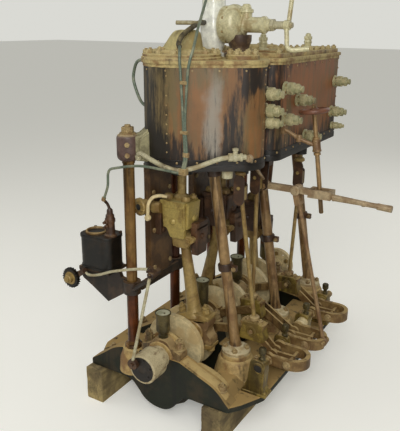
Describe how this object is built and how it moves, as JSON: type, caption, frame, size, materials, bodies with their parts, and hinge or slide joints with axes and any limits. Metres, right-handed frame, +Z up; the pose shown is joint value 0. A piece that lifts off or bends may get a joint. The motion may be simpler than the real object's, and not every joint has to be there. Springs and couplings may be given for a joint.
{
  "type": "stationary steam engine",
  "caption": "Vertical open-column steam engine with three inline cylinders in a sheet casing, crossheads, valve gear with reversing lever, lubricator and a bed on two timbers.",
  "frame": {"origin": "on the floor, under the middle of the whole engine's bounding box", "axes": "+X across the engine to the side of the reversing lever, +Y along the crankshaft towards its coupling, +Z up"},
  "size_m": [1.1918, 1.3289, 1.76],
  "materials": {
    "timber_left": "weathered",
    "timber_right": "weathered",
    "bedplate": "old green paint under oily dust",
    "bearing_caps": "oily",
    "oil_cups": "dull",
    "crankshaft": "dusty",
    "end_drum": "worn cream paint",
    "con_rod_1": "dusty",
    "con_rod_2": "dusty",
    "con_rod_3": "dusty",
    "crosshead_1": "grimy",
    "crosshead_2": "grimy",
    "crosshead_3": "grimy",
    "guide_plates": "rusty",
    "columns_left": "oily, with rust",
    "columns_right": "dusty, with rust",
    "column_head": "rusty",
    "cylinder_block": "sooty",
    "casing_front": "orange-brown paint with burnt streaks",
    "casing_rear": "orange-brown paint with burnt streaks",
    "top_plate": "dusty",
    "cylinder_covers": "dusty, with rust",
    "cover_dome": "dusty",
    "steam_pipe": "dull foil",
    "stop_valve": "grimy",
    "throttle_lever": "worn",
    "relief_valves": "grimy",
    "drain_cocks": "verdigris",
    "drain_pipe": "worn pale paint",
    "oil_pipes": "dull",
    "eccentric_rod_1": "dusty, with rust",
    "eccentric_rod_2": "dusty, with rust",
    "eccentric_rod_3": "dusty, with rust",
    "valve_rods": "dusty",
    "reversing_shaft": "dusty, with rust",
    "shaft_bearings": "grimy",
    "drag_rod": "rusty",
    "reversing_lever": "worn",
    "lever_bracket": "oily",
    "handwheel": "worn red-brown paint",
    "spindle_stay": "rusty",
    "lubricator_bracket": "oily",
    "lubricator_tank": "oily black",
    "ratchet_wheel": "oily",
    "pump_drive": "dusty"
  },
  "bodies": {
    "engine": {"timber_left": "timber_left", "timber_right": "timber_right", "bedplate": "bedplate", "bearing_caps": "bearing_caps", "oil_cups": "oil_cups", "crankshaft": "crankshaft", "end_drum": "end_drum", "con_rod_1": "con_rod_1", "con_rod_2": "con_rod_2", "con_rod_3": "con_rod_3", "crosshead_1": "crosshead_1", "crosshead_2": "crosshead_2", "crosshead_3": "crosshead_3", "guide_plates": "guide_plates", "columns_left": "columns_left", "columns_right": "columns_right", "column_head": "column_head", "cylinder_block": "cylinder_block", "casing_front": "casing_front", "casing_rear": "casing_rear", "top_plate": "top_plate", "cylinder_covers": "cylinder_covers", "cover_dome": "cover_dome", "steam_pipe": "steam_pipe", "stop_valve": "stop_valve", "relief_valves": "relief_valves", "drain_cocks": "drain_cocks", "drain_pipe": "drain_pipe", "oil_pipes": "oil_pipes", "eccentric_rod_1": "eccentric_rod_1", "eccentric_rod_2": "eccentric_rod_2", "eccentric_rod_3": "eccentric_rod_3", "valve_rods": "valve_rods", "shaft_bearings": "shaft_bearings", "lever_bracket": "lever_bracket", "spindle_stay": "spindle_stay", "lubricator_bracket": "lubricator_bracket", "lubricator_tank": "lubricator_tank", "pump_drive": "pump_drive"},
    "reversing_shaft": {"reversing_shaft": "reversing_shaft"},
    "drag_rod": {"drag_rod": "drag_rod"},
    "reversing_lever": {"reversing_lever": "reversing_lever"},
    "handwheel": {"handwheel": "handwheel"},
    "throttle_lever": {"throttle_lever": "throttle_lever"},
    "ratchet_wheel": {"ratchet_wheel": "ratchet_wheel"}
  },
  "joints": [
    {"name": "lever_swing", "type": "hinge", "parent": "engine", "child": "reversing_lever", "pos_m": [0.0661, -0.0515, 0.955], "axis": [0, 1, 0], "range_deg": [-12, 12]},
    {"name": "drag_rod_swing", "type": "hinge", "parent": "reversing_lever", "child": "drag_rod", "pos_m": [0.2091, -0.0515, 0.955], "axis": [0, 1, 0], "range_deg": [-12, 12]},
    {"name": "reversing_shaft_turn", "type": "hinge", "parent": "engine", "child": "reversing_shaft", "pos_m": [0.2281, -0.0515, 0.303], "axis": [0, 1, 0], "range_deg": [-12, 12]},
    {"name": "handwheel_turn", "type": "hinge", "parent": "engine", "child": "handwheel", "pos_m": [0.2611, -0.0515, 1.279], "axis": [-0.1426, 0, 0.9898], "continuous": true},
    {"name": "throttle_turn", "type": "hinge", "parent": "engine", "child": "throttle_lever", "pos_m": [0.1801, -0.1665, 1.594], "axis": [1, 0, 0], "range_deg": [-45, 45]},
    {"name": "ratchet_turn", "type": "hinge", "parent": "engine", "child": "ratchet_wheel", "pos_m": [-0.5519, -0.5865, 0.586], "axis": [0, 1, 0], "continuous": true}
  ],
  "couplings": [
    {"joint": "drag_rod_swing", "follows": "lever_swing", "ratio": -1},
    {"joint": "reversing_shaft_turn", "follows": "lever_swing", "ratio": 1}
  ]
}
